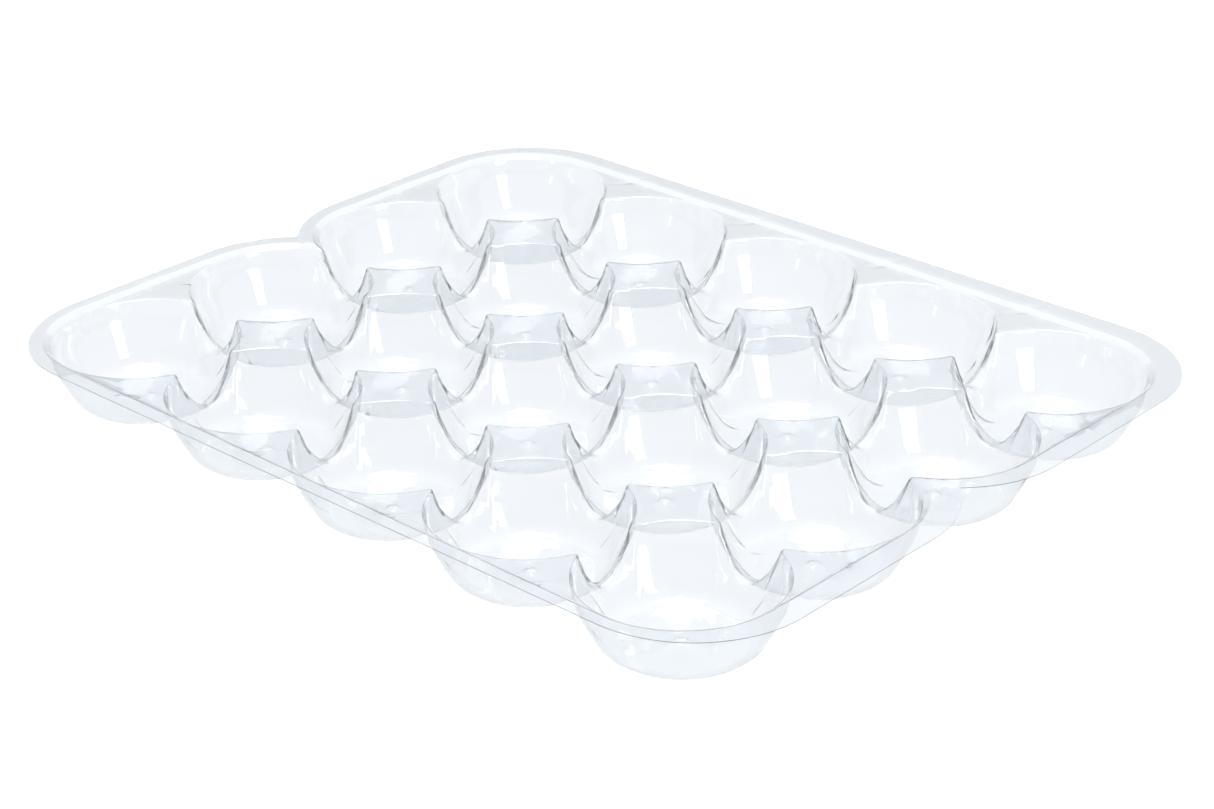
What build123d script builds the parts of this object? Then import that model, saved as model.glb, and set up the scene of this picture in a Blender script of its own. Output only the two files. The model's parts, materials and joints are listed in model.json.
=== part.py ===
from build123d import *
import math
import os

# A clear thermoformed tray: one thin sheet drawn down into a grid of round cups, with posts left
# standing between every four cups, low saddles between neighbours and a raised flange all round.
# Millimetres, +Z up, X along the longer side. The origin is under the middle of the tray, on the
# surface that the cup floors stand on. The sheet is written as its formed regions, which meet
# face to face: cups, post tops, lands between the outer cups and the fold, and the flange.

# ---- the grid of cups
COLUMNS = 5                 # along X
ROWS = 4                    # along Y
PITCH = 70.0                # centre to centre, the same both ways
SHEET = 0.5                 # formed wall thickness

# ---- one cup, measured on its inside face, above its own floor
CUP_DEPTH = 26.3            # floor to deck
MOUTH_RADIUS = 36.8         # at the deck
COLLAR_DRAFT = 5.0          # degrees, the steep upper wall
CONE_DRAFT = 26.5           # degrees, the sloping lower wall
CONE_RADIUS = 27.1          # where the sloping wall would meet the floor
FLOOR_CORNER = 10.0         # rounding between floor and sloping wall
WAIST_CORNER = 12.0         # rounding between sloping wall and collar
DRAIN_RADIUS = 2.0          # hole in the middle of each floor

# ---- the saddle between two neighbouring cups
SADDLE_HEIGHT = 7.0         # above the cup floors
SADDLE_HALF_FLOOR = 4.6     # half width of the notch at its lowest
SADDLE_HALF_MOUTH = 13.5    # half width of the notch at the deck
SADDLE_CORNER = 4.0         # rounding at the foot of the notch

# ---- the deck's edge and the flange, measured out from the centres of the outer cups
FOLD_OFFSET = 38.5          # where the deck ends and the riser stands
TRIM_OFFSET = 46.2          # the cut edge of the sheet
FLANGE_RISE = 1.5           # flange above deck

DECK = SHEET + CUP_DEPTH
UNDERSIDE = DECK - SHEET
FLANGE = DECK + FLANGE_RISE
HALF_PITCH = PITCH / 2
END_X = (COLUMNS - 1) * PITCH / 2
END_Y = (ROWS - 1) * PITCH / 2
MID_ROW_Y = HALF_PITCH      # the rows on each side of the end notches
FAR = PITCH                 # further out than anything on the tray's edge
OVERCUT = 1.0               # how far a cutting solid passes what it cuts

COLUMN_XS = [column * PITCH - END_X for column in range(COLUMNS)]
ROW_YS = [row * PITCH - END_Y for row in range(ROWS)]


def cup_body(grow, top):
    """The solid inside a cup's inner face, grown outwards, and closed off at height top."""
    cone = math.radians(CONE_DRAFT)
    collar = math.radians(COLLAR_DRAFT)
    floor_z = SHEET - grow

    def cone_radius(z):
        return CONE_RADIUS + (z - SHEET) * math.tan(cone) + grow / math.cos(cone)

    def collar_radius(z):
        return MOUTH_RADIUS - (DECK - z) * math.tan(collar) + grow / math.cos(collar)

    closing = math.tan(cone) - math.tan(collar)
    waist_z = floor_z + (collar_radius(floor_z) - cone_radius(floor_z)) / closing
    wall = FilletPolyline(
        (0, floor_z),
        (cone_radius(floor_z), floor_z),
        (cone_radius(waist_z), waist_z),
        (collar_radius(top), top),
        radius=(FLOOR_CORNER + grow, WAIST_CORNER + grow),
    )
    axis_and_lid = Polyline((collar_radius(top), top), (0, top), (0, floor_z))
    return revolve(make_face(Plane.XZ * (wall + axis_and_lid)), Axis.Z)


def saddle_notch(grow, top, length):
    """A prism from a cup's axis along +X: the notch that joins the cup to its neighbour."""
    floor_z = SHEET + SADDLE_HEIGHT - grow
    lean = math.atan2(SADDLE_HALF_MOUTH - SADDLE_HALF_FLOOR, CUP_DEPTH - SADDLE_HEIGHT)

    def half_width(z):
        above = z - SHEET - SADDLE_HEIGHT
        return SADDLE_HALF_FLOOR + above * math.tan(lean) + grow / math.cos(lean)

    outline = FilletPolyline(
        (half_width(top), top),
        (half_width(floor_z), floor_z),
        (-half_width(floor_z), floor_z),
        (-half_width(top), top),
        radius=SADDLE_CORNER + grow,
    )
    lid = Line((-half_width(top), top), (half_width(top), top))
    return extrude(make_face(Plane.YZ * (outline + lid)), length, dir=(1, 0, 0))


def neighbour_angles(column, row):
    """The directions, in degrees, in which a cup has a neighbour."""
    angles = []
    if column < COLUMNS - 1:
        angles.append(0)
    if row < ROWS - 1:
        angles.append(90)
    if column > 0:
        angles.append(180)
    if row > 0:
        angles.append(270)
    return angles


def cup_shell(column, row):
    """One cup's floor and wall up to the deck's underside, cut at the planes between cups."""
    angles = neighbour_angles(column, row)
    shell = cup_body(SHEET, UNDERSIDE)
    for angle in angles:
        shell += Rot(0, 0, angle) * saddle_notch(SHEET, UNDERSIDE, HALF_PITCH)
    shell -= cup_body(0, DECK)
    for angle in angles:
        shell -= Rot(0, 0, angle) * saddle_notch(0, DECK, HALF_PITCH + OVERCUT)
        shell -= Rot(0, 0, angle) * Pos(HALF_PITCH + FAR / 2, 0, DECK / 2) * Box(FAR, 2 * FAR, 2 * DECK)
    shell -= Cylinder(DRAIN_RADIUS, 4 * SHEET)
    return Pos(COLUMN_XS[column], ROW_YS[row], 0) * shell


def open_plan():
    """What is open at deck level, in plan: every cup's mouth and the notch between every two."""
    openings = []
    notch_width = 2 * SADDLE_HALF_MOUTH
    for column, x in enumerate(COLUMN_XS):
        for row, y in enumerate(ROW_YS):
            openings.append(Pos(x, y) * Circle(MOUTH_RADIUS))
            if column < COLUMNS - 1:
                openings.append(Pos(x + HALF_PITCH, y) * Rectangle(PITCH, notch_width))
            if row < ROWS - 1:
                openings.append(Pos(x, y + HALF_PITCH) * Rectangle(notch_width, PITCH))
    return Sketch() + openings


def tray_plan(offset):
    """The tray's plan at a distance out from the outer cups' centres, with a notch in each end."""
    block = Rectangle(2 * (END_X + offset), END_Y - MID_ROW_Y)
    middle = Rectangle(2 * END_X, 2 * (END_Y + offset))
    parts = [middle]
    for side in (-1, 1):
        parts.append(Pos(0, side * (END_Y + MID_ROW_Y) / 2) * block)
        for end in (-1, 1):
            for y in (END_Y, MID_ROW_Y):
                parts.append(Pos(end * END_X, side * y) * Circle(offset))
    return Sketch() + parts


def plate(plan, z0, z1):
    return Pos(0, 0, z0) * extrude(plan, z1 - z0, dir=(0, 0, 1))


def window(x0, x1, y0, y1):
    return Pos((x0 + x1) / 2, (y0 + y1) / 2) * Rectangle(x1 - x0, y1 - y0)


def stretches(edges, near, far):
    """Names and limits of the stretches along one axis: before the first, between, after the last."""
    limits = [(near, edges[0])] + list(zip(edges, edges[1:])) + [(edges[-1], far)]
    return list(enumerate(limits))


def deck_windows():
    """Every rectangle between cup centres, named after what the deck is there."""
    windows = {}
    across = stretches(COLUMN_XS, -END_X - FAR, END_X + FAR)
    along = stretches(ROW_YS, -END_Y - FAR, END_Y + FAR)
    ends = {0: "left", COLUMNS: "right"}
    sides = {0: "front", ROWS: "rear"}
    for column, (x0, x1) in across:
        for row, (y0, y1) in along:
            if column in ends and row in sides:
                name = f"corner_land_{sides[row]}_{ends[column]}"
            elif column in ends:
                name = f"edge_land_{ends[column]}_{row}"
            elif row in sides:
                name = f"edge_land_{sides[row]}_{column}"
            else:
                name = f"post_top_c{column}_r{row}"
            windows[name] = window(x0, x1, y0, y1)
    return windows


def flange_windows():
    """The four sides and four corners that the flange is divided into."""
    far_x = END_X + FAR
    far_y = END_Y + FAR
    return {
        "flange_front": window(-END_X, END_X, -far_y, -END_Y),
        "flange_rear": window(-END_X, END_X, END_Y, far_y),
        "flange_left": window(-far_x, -END_X, -END_Y, END_Y),
        "flange_right": window(END_X, far_x, -END_Y, END_Y),
        "flange_front_left": window(-far_x, -END_X, -far_y, -END_Y),
        "flange_front_right": window(END_X, far_x, -far_y, -END_Y),
        "flange_rear_left": window(-far_x, -END_X, END_Y, far_y),
        "flange_rear_right": window(END_X, far_x, END_Y, far_y),
    }


def build_nodes():
    nodes = {}
    for column in range(COLUMNS):
        for row in range(ROWS):
            nodes[f"cup_c{column + 1}_r{row + 1}"] = cup_shell(column, row)
    deck = tray_plan(FOLD_OFFSET) - open_plan()
    for name, frame in deck_windows().items():
        nodes[name] = plate(deck & frame, UNDERSIDE, DECK)
    riser = tray_plan(FOLD_OFFSET + SHEET) - tray_plan(FOLD_OFFSET)
    flange = tray_plan(TRIM_OFFSET) - tray_plan(FOLD_OFFSET + SHEET)
    for name, frame in flange_windows().items():
        upright = plate(riser & frame, UNDERSIDE, FLANGE)
        nodes[name] = upright + plate(flange & frame, FLANGE - SHEET, FLANGE)
    return nodes


os.makedirs("parts", exist_ok=True)
for name, shape in build_nodes().items():
    export_step(shape, f"parts/{name}.step")
    size = shape.bounding_box().size
    print(f"{name}: {len(shape.solids())} solid, {shape.volume:.0f} mm3, "
          f"{size.X:.1f} x {size.Y:.1f} x {size.Z:.1f}")
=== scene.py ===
# %% [markdown]
# # A clear tray of round cups
# The real tray is one thin clear sheet, heated, drawn down over a mould and cut out. So there is
# one piece to make here, and nothing on it moves.
#
# The cups could be modelled one by one and joined, but the places where their walls flow into each
# other would all need patching. A formed sheet has only one height at each point, so this script
# writes that height as a rule: it follows from how far the point is from the nearest cup centres.
# The rule becomes a mesh, a Geometry Nodes tree gives it a thickness, and a clear material and a
# white table finish it. Lengths are in metres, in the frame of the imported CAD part.

# %% Load the CAD frame
import math

import bpy
import numpy as np
from mathutils import Matrix, Vector
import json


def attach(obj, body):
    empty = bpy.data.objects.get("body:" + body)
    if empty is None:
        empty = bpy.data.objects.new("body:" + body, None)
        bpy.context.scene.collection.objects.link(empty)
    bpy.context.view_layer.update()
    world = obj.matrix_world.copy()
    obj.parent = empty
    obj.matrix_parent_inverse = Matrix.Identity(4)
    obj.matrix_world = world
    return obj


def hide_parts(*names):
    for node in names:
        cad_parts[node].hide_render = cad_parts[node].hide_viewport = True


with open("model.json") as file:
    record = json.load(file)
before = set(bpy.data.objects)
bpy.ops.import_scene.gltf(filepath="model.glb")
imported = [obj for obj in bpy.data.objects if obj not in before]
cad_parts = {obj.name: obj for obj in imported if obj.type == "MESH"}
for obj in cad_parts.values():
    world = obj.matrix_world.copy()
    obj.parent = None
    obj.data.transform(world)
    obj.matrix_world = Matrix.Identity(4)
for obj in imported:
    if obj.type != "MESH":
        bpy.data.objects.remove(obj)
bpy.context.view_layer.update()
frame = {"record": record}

# %% [markdown]
# ## Driving sizes
# Most of these repeat the CAD part's sizes. A few differ on purpose, because they are for looking
# at: the sheet is thinner, so that its cut edge shows as a hair line, the corner between cone and
# collar is softer, and the outline is cut a little off centre, as a die does. Heights are measured
# from the table, so the upper face of a cup floor is one sheet thickness up.

# %% Sizes
MM = 0.001
COLUMNS, ROWS = 5, 4
PITCH = 70 * MM
SHEET = 0.25 * MM              # the CAD sheet is 0.5 mm
CUP_DEPTH = 26.3 * MM
MOUTH_RADIUS = 36.8 * MM
COLLAR_DRAFT = math.radians(5)
CONE_DRAFT = math.radians(26.5)
CONE_RADIUS = 27.1 * MM
FLOOR_CORNER = 10 * MM
WAIST_CORNER = 16 * MM
LIP_CORNER = 0.9 * MM
DRAIN_RADIUS = 2 * MM
DRAIN_LIP = 0.90 * MM          # how far up, and how widely, the floor turns at the drain hole
SADDLE_RADIUS = 31.4 * MM      # the cup radius whose height the saddle's lowest point takes
SADDLE_HALF_WIDTH = 10.5 * MM  # along the ridge, from the lowest point up to the deck
BLEND = 0.7 * MM               # how widely two cup walls round into each other
FOLD_OFFSET = 37.2 * MM        # from the outer cup centres out to the foot of the fold
FOLD_WIDTH = 2.6 * MM
FLANGE_RISE = 1.5 * MM
TRIM_OFFSET = 46.9 * MM        # and out to the cut edge
TRIM_SLIP = (2.0 * MM, 1.4 * MM)  # the cutting die landed this far off the form
TRIM_TURN = math.radians(0.4)

DECK = SHEET + CUP_DEPTH
END_X = (COLUMNS - 1) * PITCH / 2
END_Y = (ROWS - 1) * PITCH / 2
HALF = PITCH / 2
centres = np.array([
    (column * PITCH - END_X, row * PITCH - END_Y)
    for column in range(COLUMNS)
    for row in range(ROWS)
])
print(len(centres), "cup centres")

# %% [markdown]
# ## The profile of one cup
# A real cup is a flat floor, a sloping cone and a steep collar, with rounded corners between them
# and a small rounded lip at the deck, because hot sheet can't follow a sharp mould corner. A bevel
# modifier could round a coarse mesh afterwards. Here the profile is worked out first, as a fine
# curve of height against radius, so that the rounded corners become part of the height rule.

# %% Cup profile
def rounded_corners(points, radii, steps=24):
    """A polyline with an arc of the given radius set into each inner corner."""
    curve = [np.array(points[0])]
    for before, corner, after, radius in zip(points, points[1:], points[2:], radii):
        corner = np.array(corner)
        arrive = corner - before
        leave = np.array(after) - corner
        arrive /= np.linalg.norm(arrive)
        leave /= np.linalg.norm(leave)
        turn = math.acos(np.clip(arrive @ leave, -1, 1))
        side = math.copysign(1, arrive[0] * leave[1] - arrive[1] * leave[0])
        start = corner - arrive * radius * math.tan(turn / 2)
        normal = np.array((-arrive[1], arrive[0])) * side
        for step in range(steps + 1):
            swept = turn * step / steps
            forward, sideways = math.sin(swept), 1 - math.cos(swept)
            curve.append(start + radius * (arrive * forward + normal * sideways))
    curve.append(np.array(points[-1]))
    return np.array(curve)


closing = math.tan(CONE_DRAFT) - math.tan(COLLAR_DRAFT)
collar_at_floor = MOUTH_RADIUS - CUP_DEPTH * math.tan(COLLAR_DRAFT)
waist_height = (collar_at_floor - CONE_RADIUS) / closing
profile = rounded_corners(
    [
        (0.0, SHEET),
        (CONE_RADIUS, SHEET),
        (CONE_RADIUS + waist_height * math.tan(CONE_DRAFT), SHEET + waist_height),
        (MOUTH_RADIUS, DECK),
        (MOUTH_RADIUS + PITCH, DECK),
    ],
    [FLOOR_CORNER, WAIST_CORNER, LIP_CORNER],
)
print("waist at", round(waist_height / MM, 1), "mm above the floor")


def cup_height(radius):
    """Height of the sheet's upper face at a distance from a lone cup's axis."""
    lip = DRAIN_LIP * np.exp(-(radius - DRAIN_RADIUS) / DRAIN_LIP)
    return np.interp(radius, profile[:, 0], profile[:, 1]) + np.where(radius < HALF, lip, 0)


# %% [markdown]
# ## The height rule of the whole sheet
# Each cup centre gives a distance, and the nearest one decides the height. A hard minimum would
# leave a knife edge where two walls meet, so a soft one is used, and they meet in a rounded ridge.
# Between neighbours the real ridge is also lowered to a saddle. That is one more distance, smallest
# in the middle of the ridge and growing along it. Outside the outer cups the deck steps up to the
# flange, and the two ends of the tray have a notch in the middle.

# %% Height rule
SADDLE_REACH = 0.3 * PITCH  # across the ridge, a saddle lowers nothing beyond this
saddles_x = [(x + HALF, y) for x, y in centres if x < END_X - HALF]
saddles_y = [(x, y + HALF) for x, y in centres if y < END_Y - HALF]


def soft_minimum(distances, width):
    """The smallest of several distances, rounded off over a width where two are nearly equal."""
    lowest = distances.min(axis=0)
    return lowest - width * np.log(np.exp(-(distances - lowest) / width).sum(axis=0))


def edge_distance(x, y):
    """Distance out from the outer cup centres. The two halves in Y leave a notch at each end."""
    outside_x = np.maximum(np.abs(x) - END_X, 0)
    halves = []
    for side in (-1, 1):
        outside_y = np.maximum(np.abs(y - side * (END_Y + HALF) / 2) - (END_Y - HALF) / 2, 0)
        halves.append(np.hypot(outside_x, outside_y))
    return soft_minimum(np.array(halves), BLEND / 2)


def trim_distance(x, y):
    """The same distance, measured in the frame of the cutting die."""
    x, y = x - TRIM_SLIP[0], y - TRIM_SLIP[1]
    cosine, sine = math.cos(TRIM_TURN), math.sin(TRIM_TURN)
    return edge_distance(x * cosine + y * sine, y * cosine - x * sine)


def saddle_distance(along, across):
    """A saddle's own distance, from how far a point is along and across its ridge."""
    rise = (MOUTH_RADIUS - SADDLE_RADIUS) * (along / SADDLE_HALF_WIDTH) ** 2
    return SADDLE_RADIUS + rise + np.where(np.abs(across) < SADDLE_REACH, 0, PITCH)


def sheet_height(x, y):
    """Height of the sheet's upper face anywhere: cups, saddles, deck, fold and flange."""
    distances = [np.hypot(x - cx, y - cy) for cx, cy in centres]
    distances += [saddle_distance(y - sy, x - sx) for sx, sy in saddles_x]
    distances += [saddle_distance(x - sx, y - sy) for sx, sy in saddles_y]
    height = cup_height(soft_minimum(np.array(distances), BLEND))
    fold = np.clip((edge_distance(x, y) - FOLD_OFFSET) / FOLD_WIDTH, 0, 1)
    return height + FLANGE_RISE * fold * fold * (3 - 2 * fold)


print("height in the middle of a saddle", round(float(sheet_height(0.0, 0.0)) / MM, 1), "mm")

# %% [markdown]
# ## Where each cup's rays go
# A square grid of points would need millions of them to keep the round lips smooth. Instead each
# cup gets a fan of rays, from its drain hole out to the edge of its own cell. Neighbouring fans end
# in the same points on their shared border, so that they can be welded there. A border that runs
# out to the cut edge crosses the fold, and gets a few extra rays at the fold.

# %% Directions of the rays
QUARTER = math.pi / 2
RAYS_PER_QUARTER = 20
FOLD_RAYS = 4
FOLD_MARGIN = 0.1  # the extra rays start and end this share of the fold's width beyond it
HALVINGS = 40


def first_crossing(inside, far):
    """The distance at which inside() turns false, found by halving."""
    near = 0.0
    for _ in range(HALVINGS):
        middle = (near + far) / 2
        near, far = (middle, far) if inside(middle) else (near, middle)
    return near


def on_ray(cx, cy, angle, distance):
    return cx + distance * math.cos(angle), cy + distance * math.sin(angle)


def has_neighbour(cx, cy, quarter):
    """Whether there is a cup one pitch away, a number of quarter turns from +X."""
    x, y = on_ray(cx, cy, quarter * QUARTER, PITCH)
    return abs(x) < END_X + HALF and abs(y) < END_Y + HALF


def open_side(cx, cy, quarter):
    """The shared side between this direction and the next, and which way it runs out: or None."""
    sides = [has_neighbour(cx, cy, quarter), has_neighbour(cx, cy, quarter + 1)]
    if sides[0] == sides[1]:
        return None
    return (quarter, 1) if sides[0] else (quarter + 1, -1)


def border_corner(cx, cy, quarter):
    """The direction of the cell's corner between one side and the next, if it has one there."""
    opening = open_side(cx, cy, quarter)
    if opening is None:
        return (quarter + 0.5) * QUARTER if has_neighbour(cx, cy, quarter) else None
    shared, outwards = opening
    x, y = on_ray(cx, cy, shared * QUARTER, HALF)
    along = (shared + outwards) * QUARTER
    far = first_crossing(lambda s: trim_distance(*on_ray(x, y, along, s)) < TRIM_OFFSET, PITCH)
    return shared * QUARTER + outwards * math.atan2(far, HALF)


def fold_angles(cx, cy, quarter):
    """Directions in which a border that runs out crosses the fold."""
    opening = open_side(cx, cy, quarter)
    if opening is None:
        return []
    shared, outwards = opening
    across = FOLD_OFFSET + FOLD_WIDTH * np.linspace(-FOLD_MARGIN, 1 + FOLD_MARGIN, FOLD_RAYS)
    return list(shared * QUARTER + outwards * np.arctan2(across, HALF))


def ray_angles(cx, cy):
    """Directions of a cup's rays: each cell corner gets one, and they are even in between."""
    corners = [border_corner(cx, cy, quarter) for quarter in range(4)]
    corners = sorted(corner for corner in corners if corner is not None)
    angles = []
    for start, end in zip(corners, corners[1:] + [corners[0] + 2 * math.pi]):
        count = round((end - start) / QUARTER * RAYS_PER_QUARTER)
        angles += list(np.linspace(start, end, count, endpoint=False))
    for quarter in range(4):
        angles += fold_angles(cx, cy, quarter)
    return sorted(angle % (2 * math.pi) for angle in angles)


print("rays of a corner cup:", len(ray_angles(*centres[0])))

# %% [markdown]
# ## Rings along the rays
# Rings join the rays of a fan into faces. Even spacing would waste them on flat floors and starve
# the lips, so they are spaced by what a stretch is worth: its length, plus how far the sheet turns
# in it. Rounded corners come out smooth and the whole tray stays under 200,000 triangles.

# %% Points of one fan
RINGS = 27
FINE = 700             # samples along a ray, from which the rings are chosen
LENGTH_WEIGHT = 0.45
TURN_WEIGHT = 7 * MM   # ring spacing that one radian of turning is worth


def ray_length(cx, cy, angle):
    """How far a ray runs, to the cut edge or to the border with a neighbour."""
    limit = first_crossing(
        lambda s: trim_distance(*on_ray(cx, cy, angle, s)) < TRIM_OFFSET, 2 * PITCH)
    for quarter in range(4):
        facing = math.cos(angle - quarter * QUARTER)
        if has_neighbour(cx, cy, quarter) and facing > 0:
            limit = min(limit, HALF / facing)
    return limit


def fan(cx, cy):
    """Points of one cup's fan, as an array of rays by rings by three."""
    rays = []
    for angle in ray_angles(cx, cy):
        distance = np.linspace(DRAIN_RADIUS, ray_length(cx, cy, angle), FINE)
        x, y = on_ray(cx, cy, angle, distance)
        z = sheet_height(x, y)
        slope = np.arctan2(np.diff(z), np.diff(distance))
        turning = np.abs(np.diff(slope, prepend=slope[0]))
        length = np.hypot(np.diff(z), np.diff(distance))
        stretches = LENGTH_WEIGHT * length + TURN_WEIGHT * turning
        worth = np.concatenate([[0], np.cumsum(stretches)])
        chosen = np.interp(np.linspace(0, worth[-1], RINGS), worth, distance)
        x, y = on_ray(cx, cy, angle, chosen)
        rays.append(np.stack([x, y, sheet_height(x, y)], axis=1))
    return np.array(rays)


print("points in a corner cup's fan:", fan(*centres[0]).shape)

# %% [markdown]
# ## One face of the sheet
# The twenty fans go into one mesh, still loose along their borders. It is only the upper face of
# the sheet; the next step welds it and gives it a thickness.

# %% Upper face
vertices = []
faces = []
for cx, cy in centres:
    points = fan(cx, cy)
    rays, rings = points.shape[:2]
    first = len(vertices)
    vertices += [tuple(point) for point in points.reshape(-1, 3)]
    for ray in range(rays):
        following = (ray + 1) % rays
        for ring in range(rings - 1):
            a = first + ray * rings + ring
            b = first + following * rings + ring
            faces.append((a, a + 1, b + 1, b))
face_mesh = bpy.data.meshes.new("sheet_upper_face")
face_mesh.from_pydata(vertices, [], faces)
face_object = bpy.data.objects.new("formed_sheet", face_mesh)
bpy.context.scene.collection.objects.link(face_object)
print("upper face:", len(faces), "quads")

# %% [markdown]
# ## Thickness and forming waves
# A Geometry Nodes tree finishes the sheet. It welds the fans and adds the slow waves that a hot
# sheet keeps as it cools, which make reflections wander. Then it pushes a flipped copy of the face
# out by the sheet's thickness, and that copy's side walls close the cut edge and the drain holes.
# A Solidify modifier could thicken it too. In a tree the order is plain, and every size is a named
# input.

# %% A helper for nodes
def add_node(tree, kind, settings=None, **inputs):
    """A node with its attributes set, and its inputs linked or given values. i0 is input 0."""
    node = tree.nodes.new(kind)
    for name, value in (settings or {}).items():
        setattr(node, name, value)
    for name, value in inputs.items():
        by_number = name[0] == "i" and name[1:].isdigit()
        socket = node.inputs[int(name[1:])] if by_number else node.inputs[name]
        if isinstance(value, bpy.types.NodeSocket):
            tree.links.new(value, socket)
        else:
            socket.default_value = value
    return node


# %% Sheet tree
def sheet_tree():
    """Weld, wave, thicken and dress the upper face that it is given."""
    tree = bpy.data.node_groups.new("thermoformed_sheet", "GeometryNodeTree")
    face = tree.interface
    face.new_socket("Geometry", in_out="INPUT", socket_type="NodeSocketGeometry")
    for name in ("Weld distance", "Thickness", "Wave height", "Wave size", "Seed"):
        face.new_socket(name, in_out="INPUT", socket_type="NodeSocketFloat")
    face.new_socket("Material", in_out="INPUT", socket_type="NodeSocketMaterial")
    face.new_socket("Geometry", in_out="OUTPUT", socket_type="NodeSocketGeometry")
    given = tree.nodes.new("NodeGroupInput").outputs
    welded = add_node(tree, "GeometryNodeMergeByDistance",
                      Geometry=given["Geometry"], Distance=given["Weld distance"])
    per_metre = add_node(tree, "ShaderNodeMath", {"operation": "DIVIDE"},
                         i0=1.0, i1=given["Wave size"])
    noise = add_node(tree, "ShaderNodeTexNoise", {"noise_dimensions": "4D"},
                     W=given["Seed"], Scale=per_metre.outputs[0], Detail=1.0)
    centred = add_node(tree, "ShaderNodeMath", {"operation": "SUBTRACT"},
                       i0=noise.outputs[0], i1=0.5)
    height = add_node(tree, "ShaderNodeMath", {"operation": "MULTIPLY"},
                      i0=centred.outputs[0], i1=given["Wave height"])
    normal = tree.nodes.new("GeometryNodeInputNormal")
    wave = add_node(tree, "ShaderNodeVectorMath", {"operation": "SCALE"},
                    i0=normal.outputs[0], Scale=height.outputs[0])
    waved = add_node(tree, "GeometryNodeSetPosition",
                     Geometry=welded.outputs[0], Offset=wave.outputs[0])
    flipped = add_node(tree, "GeometryNodeFlipFaces", Mesh=waved.outputs[0])
    pushed = add_node(tree, "GeometryNodeExtrudeMesh", {"mode": "FACES"},
                      Mesh=flipped.outputs[0],
                      **{"Offset Scale": given["Thickness"], "Individual": False})
    joined = tree.nodes.new("GeometryNodeJoinGeometry")
    tree.links.new(waved.outputs[0], joined.inputs[0])
    tree.links.new(pushed.outputs[0], joined.inputs[0])
    closed = add_node(tree, "GeometryNodeMergeByDistance",
                      Geometry=joined.outputs[0], Distance=given["Weld distance"])
    smooth = add_node(tree, "GeometryNodeSetShadeSmooth", Geometry=closed.outputs[0])
    real = add_node(tree, "GeometryNodeRealizeInstances", Geometry=smooth.outputs[0])
    dressed = add_node(tree, "GeometryNodeSetMaterial",
                       Geometry=real.outputs[0], Material=given["Material"])
    result = tree.nodes.new("NodeGroupOutput")
    tree.links.new(dressed.outputs[0], result.inputs[0])
    print(tree.name, "has", len(tree.nodes), "nodes")
    return tree


# %% From an object and a tree to a plain mesh
def socket_id(tree, name):
    """The identifier of a tree's input, which is what a modifier's setting is called."""
    return next(item.identifier for item in tree.interface.items_tree
                if item.name == name and item.in_out == "INPUT")


def plain_mesh(obj, tree, values):
    """Runs a tree on an object, keeps the result as its plain mesh and drops the modifier."""
    modifier = obj.modifiers.new(tree.name, "NODES")
    modifier.node_group = tree
    for name, value in values.items():
        modifier[socket_id(tree, name)] = value
    shown = obj.evaluated_get(bpy.context.evaluated_depsgraph_get())
    made = bpy.data.meshes.new_from_object(shown)
    obj.modifiers.remove(modifier)
    obj.data = made
    return obj


# %% [markdown]
# ## Clear plastic
# The sheet is clear, glossy plastic. Plain glass would do, but drawn plastic is never quite
# clear: where several walls lie behind each other it looks faintly milky. So a small share of the
# light isn't let through and is scattered instead, and the tint is a faint cool one.

# %% Clear sheet material
def clear_sheet():
    material = bpy.data.materials.new("clear_sheet")
    material.use_nodes = True
    shader = material.node_tree.nodes["Principled BSDF"]
    shader.inputs["Base Color"].default_value = (0.945, 0.958, 0.972, 1)
    shader.inputs["Roughness"].default_value = 0.03
    shader.inputs["IOR"].default_value = 1.5
    shader.inputs["Transmission Weight"].default_value = 0.94
    return material


sheet_material = clear_sheet()
print("material", sheet_material.name)

# %% [markdown]
# ## The formed sheet
# The tree runs once on the upper face, and its result is kept as a plain mesh. Shading is smooth
# except across the sheet's own thickness, where the cut edge and the drain holes are sharp. The
# finished piece stands in for every region of the CAD part.

# %% Formed sheet
WELD = 0.002 * MM
SHARP_ANGLE = math.radians(50)

tray = plain_mesh(face_object, sheet_tree(), {
    "Weld distance": WELD,
    "Thickness": SHEET,
    "Wave height": 0.10 * MM,
    "Wave size": 24 * MM,
    "Seed": 7.0,
    "Material": sheet_material,
})
tray.name = "formed_sheet"
tray.data.set_sharp_from_angle(angle=SHARP_ANGLE)
tray.data.calc_loop_triangles()
print("sheet:", len(tray.data.loop_triangles), "triangles")

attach(tray, "root")
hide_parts(*[part["node"] for part in frame["record"]["subparts"]])

# %% [markdown]
# ## The table
# A clear object is seen by what is behind it, so the table matters more than any lamp. A white
# glowing table is used, like a light box. It is plain white where it is seen directly, and a
# little dimmer through the sheet, so that white reflections still stand out on the walls.

# %% Table
TABLE_SIZE = 8
TABLE_GAP = 0.2 * MM


def table(seen_directly, through_sheet):
    """A glowing white table: plain white to look at, a little dimmer through the sheet."""
    bpy.ops.mesh.primitive_plane_add(size=TABLE_SIZE, location=(0, 0, -TABLE_GAP))
    plane = bpy.context.object
    plane.name = "table"
    material = bpy.data.materials.new("white_table")
    material.use_nodes = True
    tree = material.node_tree
    shader = tree.nodes["Principled BSDF"]
    shader.inputs["Base Color"].default_value = (0.1, 0.1, 0.1, 1)
    shader.inputs["Roughness"].default_value = 0.8
    shader.inputs["Specular IOR Level"].default_value = 0.0
    shader.inputs["Emission Color"].default_value = (0.96, 0.98, 1, 1)
    direct = tree.nodes.new("ShaderNodeLightPath").outputs["Is Camera Ray"]
    glow = add_node(tree, "ShaderNodeMapRange", Value=direct,
                    **{"To Min": through_sheet, "To Max": seen_directly})
    tree.links.new(glow.outputs[0], shader.inputs["Emission Strength"])
    plane.data.materials.append(material)
    return plane


table(seen_directly=1.15, through_sheet=0.95)
print("table", TABLE_SIZE, "m wide")

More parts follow.
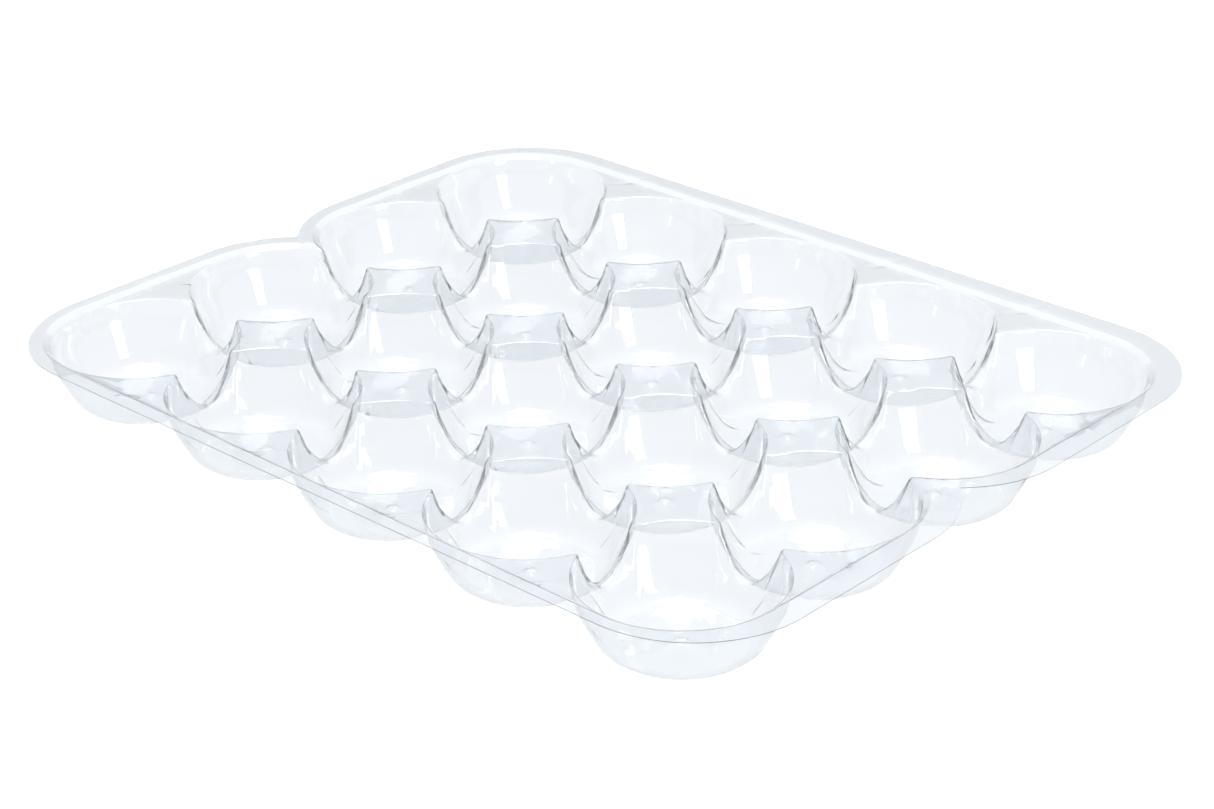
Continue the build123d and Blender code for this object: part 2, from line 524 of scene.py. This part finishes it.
# %% [markdown]
# ## Softboxes and cards
# The lamps are here for their reflections only. One overhead puts a bright oval in each cup's far
# corner, a near strip on the right draws an upright streak on every far wall, and a narrow one on
# the left draws the small streaks. Two low dark cards behind the tray do the opposite: they make
# the far flange a little darker, so that its outline shows against the white.

# %% Softboxes
def around(azimuth, distance, height):
    """A place at an azimuth in degrees (0 is in front, 90 on the right) round the object."""
    turn = math.radians(azimuth)
    return Vector((distance * math.sin(turn), -distance * math.cos(turn), height))


def softbox(name, place, width, height, radiance):
    """A rectangular lamp that faces the object. It is level, unless it hangs overhead."""
    light = bpy.data.lights.new(name, "AREA")
    light.shape = "RECTANGLE"
    light.size = width
    light.size_y = height
    light.energy = radiance * math.pi * width * height
    lamp = bpy.data.objects.new(name, light)
    lamp.location = place
    towards_object = Vector((0, 0, place.z)) if place.xy.length > 0 else Vector()
    lamp.rotation_euler = (towards_object - place).to_track_quat("-Z", "Y").to_euler()
    lamp.visible_diffuse = False
    bpy.context.scene.collection.objects.link(lamp)
    return lamp


lamps = [
    softbox("overhead", Vector((0, 0, 1.5)), width=0.75, height=0.6, radiance=11),
    softbox("right_strip", around(80, 0.62, 0.3), width=0.18, height=0.56, radiance=9),
    softbox("left_strip", around(-3, 1.5, 0.4), width=0.07, height=0.5, radiance=8),
]
print("softboxes:", [lamp.name for lamp in lamps])


# %% Dark cards
def dark_card(name, place, turn, width, height):
    """A low dark card, seen only as a reflection: it draws the outline of the far flange."""
    bpy.ops.mesh.primitive_plane_add(size=1, location=place, rotation=(math.pi / 2, 0, turn))
    card = bpy.context.object
    card.name = name
    card.scale = (width, height, 1)
    material = bpy.data.materials.new(name)
    material.use_nodes = True
    shader = material.node_tree.nodes["Principled BSDF"]
    shader.inputs["Base Color"].default_value = (0.05, 0.055, 0.06, 1)
    shader.inputs["Roughness"].default_value = 0.9
    card.data.materials.append(material)
    card.visible_camera = False
    card.visible_diffuse = False
    card.visible_transmission = False
    card.visible_shadow = False
    return card


CARD_GAP = 20 * MM     # behind the cut edge
CARD_MIDDLE = 50 * MM  # height of a card's middle
CARD_HEIGHT = 40 * MM
behind_rear = (0, END_Y + TRIM_OFFSET + CARD_GAP, CARD_MIDDLE)
behind_left = (-END_X - TRIM_OFFSET - CARD_GAP, 0, CARD_MIDDLE)
cards = [
    dark_card("rear_card", behind_rear, turn=0, width=0.44, height=CARD_HEIGHT),
    dark_card("left_card", behind_left, turn=math.pi / 2, width=0.36, height=CARD_HEIGHT),
]
print("cards:", [card.name for card in cards])

# %% [markdown]
# ## The room
# Everything else that a glossy sheet reflects is the room. It is cool, brightest overhead and a
# little behind the object, and dimmer on the near side, so the walls that face the camera darken.

# %% Studio world
def studio_world(low, high):
    """A cool room, brightest overhead and a little behind the object, and dimmer elsewhere."""
    world = bpy.data.worlds.new("studio")
    world.use_nodes = True
    tree = world.node_tree
    direction = tree.nodes.new("ShaderNodeTexCoord").outputs["Generated"]
    towards = add_node(tree, "ShaderNodeVectorMath", {"operation": "DOT_PRODUCT"},
                       i0=direction, i1=BRIGHT_SIDE)
    brightness = add_node(tree, "ShaderNodeMapRange", Value=towards.outputs["Value"],
                          **{"From Min": DIM_BELOW, "To Min": low, "To Max": high})
    background = tree.nodes["Background"]
    background.inputs["Color"].default_value = (0.93, 0.965, 1, 1)
    tree.links.new(brightness.outputs[0], background.inputs["Strength"])
    return world


BRIGHT_ELEVATION = math.radians(75)
BRIGHT_SIDE = around(223, math.cos(BRIGHT_ELEVATION), math.sin(BRIGHT_ELEVATION))
DIM_BELOW = 0.45  # cosine of the angle from the bright side at which the room is at its dimmest
bpy.context.scene.world = studio_world(low=0.72, high=1.38)
print("world", bpy.context.scene.world.name)

# %% [markdown]
# ## The camera
# The tray is looked at across one corner, from about 26 degrees up, through a moderately long lens.
# The colours are shown as they are, with no film-like curve, so that the white stays white.

# %% Camera
CAMERA_PLACE = Vector((9.680 * PITCH, -10.178 * PITCH, 6.922 * PITCH + SHEET))
CAMERA_AZIMUTH = math.radians(43.20)
CAMERA_ELEVATION = math.radians(26.03)
CAMERA_ROLL = math.radians(-0.60)
SENSOR_WIDTH = 36.0
LENS = 83.6

camera_data = bpy.data.cameras.new("camera")
camera_data.sensor_width = SENSOR_WIDTH
camera_data.lens = LENS
camera = bpy.data.objects.new("camera", camera_data)
camera.matrix_world = (
    Matrix.Translation(CAMERA_PLACE)
    @ Matrix.Rotation(CAMERA_AZIMUTH, 4, "Z")
    @ Matrix.Rotation(math.pi / 2 - CAMERA_ELEVATION, 4, "X")
    @ Matrix.Rotation(CAMERA_ROLL, 4, "Z")
)
bpy.context.scene.collection.objects.link(camera)
bpy.context.scene.camera = camera
bpy.context.scene.view_settings.view_transform = "Standard"
print("camera at", [round(value, 3) for value in CAMERA_PLACE])
